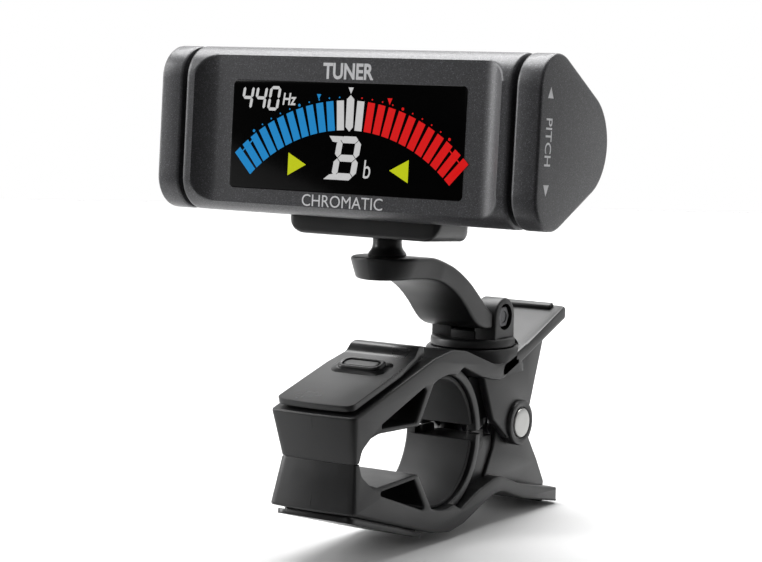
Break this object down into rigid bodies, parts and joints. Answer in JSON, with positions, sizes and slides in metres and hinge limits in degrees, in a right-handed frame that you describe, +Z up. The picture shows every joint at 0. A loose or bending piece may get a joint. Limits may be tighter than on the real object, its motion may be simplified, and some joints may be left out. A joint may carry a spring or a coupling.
{
  "type": "clip on tuner",
  "caption": "Battery tuner for string instruments: a three-sided display head on a ball joint, tilting arm and turntable, carried by a spring clip with a round grip",
  "frame": {"origin": "centre of the round opening between the jaws, on the plane where they meet", "axes": "X across the clip and along the display head, +Y from the jaw noses to the handles, +Z up towards the head"},
  "size_m": [0.072, 0.0703, 0.0813],
  "materials": {
    "black_nylon": "fine matt moulded",
    "cover_plastic": "satin moulded",
    "soft_pad": "matt",
    "bright_steel": "satin turned",
    "spring_steel": "drawn wire",
    "black_steel": "black oxide",
    "flake_paint": "dark grey metallic flake paint",
    "gloss_black": "polished",
    "window": "clear window over a dark display",
    "board": "solder mask",
    "display": "bezel",
    "switch": "moulded",
    "cell": "printed sleeve, plain",
    "contact": "nickel plated",
    "acetal": "natural"
  },
  "bodies": {
    "clip_upper": {"upper_jaw": "black_nylon", "upper_cover": "cover_plastic", "upper_pad": "soft_pad", "pivot_pin": "bright_steel", "pin_cap": "bright_steel", "torsion_spring": "spring_steel"},
    "clip_lower": {"lower_jaw": "black_nylon", "lower_cover": "cover_plastic", "lower_pad": "soft_pad"},
    "swivel": {"turntable": "black_nylon", "swivel_screw": "black_steel", "hinge_screw": "black_steel", "hinge_nut": "black_steel"},
    "tilt_arm": {"arm": "black_nylon"},
    "stud": {"ball_stud": "gloss_black", "stud_screw": "black_steel"},
    "seat": {"ball_seat": "acetal"},
    "head": {"ball_housing": "black_nylon", "ball_retainer": "acetal", "housing_screws": "black_steel", "front_shell": "flake_paint", "rear_shell": "flake_paint", "case_screws": "black_steel", "lens": "window", "display_module": "display", "circuit_board": "board", "piezo_sensor": "contact", "left_switch": "switch", "right_switch": "switch", "battery": "cell", "battery_spring": "contact", "battery_plate": "contact"},
    "door": {"battery_door": "flake_paint"},
    "left_cap": {"left_shuttle": "flake_paint"},
    "right_cap": {"right_shuttle": "flake_paint"}
  },
  "joints": [
    {"name": "jaw_open", "type": "hinge", "parent": "clip_upper", "child": "clip_lower", "pos_m": [0, 0.0249, 0], "axis": [1, 0, 0], "range_deg": [0, 36], "stiffness_Nm_per_rad": 0.25, "springref_deg": -34.38, "deforming": ["torsion_spring"]},
    {"name": "swivel_turn", "type": "hinge", "parent": "clip_upper", "child": "swivel", "pos_m": [0, 0.0213, 0.0135], "axis": [0, 0, 1], "continuous": true},
    {"name": "arm_tilt", "type": "hinge", "parent": "swivel", "child": "tilt_arm", "pos_m": [0, 0.0213, 0.0189], "axis": [1, 0, 0], "range_deg": [-55, 8]},
    {"name": "head_turn", "type": "hinge", "parent": "tilt_arm", "child": "stud", "pos_m": [0, -0.0068, 0.0387], "axis": [0, 0, 1], "continuous": true},
    {"name": "head_nod", "type": "hinge", "parent": "stud", "child": "seat", "pos_m": [0, -0.0068, 0.0387], "axis": [1, 0, 0], "range_deg": [-7, 12]},
    {"name": "head_roll", "type": "hinge", "parent": "seat", "child": "head", "pos_m": [0, -0.0068, 0.0387], "axis": [0, 1, 0], "range_deg": [-9, 9]},
    {"name": "left_rock", "type": "hinge", "parent": "head", "child": "left_cap", "pos_m": [0, -0.01052, 0.05091], "axis": [1, 0, 0], "range_deg": [-8, 8], "stiffness_Nm_per_rad": 0.15},
    {"name": "right_rock", "type": "hinge", "parent": "head", "child": "right_cap", "pos_m": [0, -0.01052, 0.05091], "axis": [1, 0, 0], "range_deg": [-8, 8], "stiffness_Nm_per_rad": 0.15},
    {"name": "door_slide", "type": "slide", "parent": "head", "child": "door", "axis": [0, 0.908, 0.419], "range_m": [0, 0.012]}
  ]
}
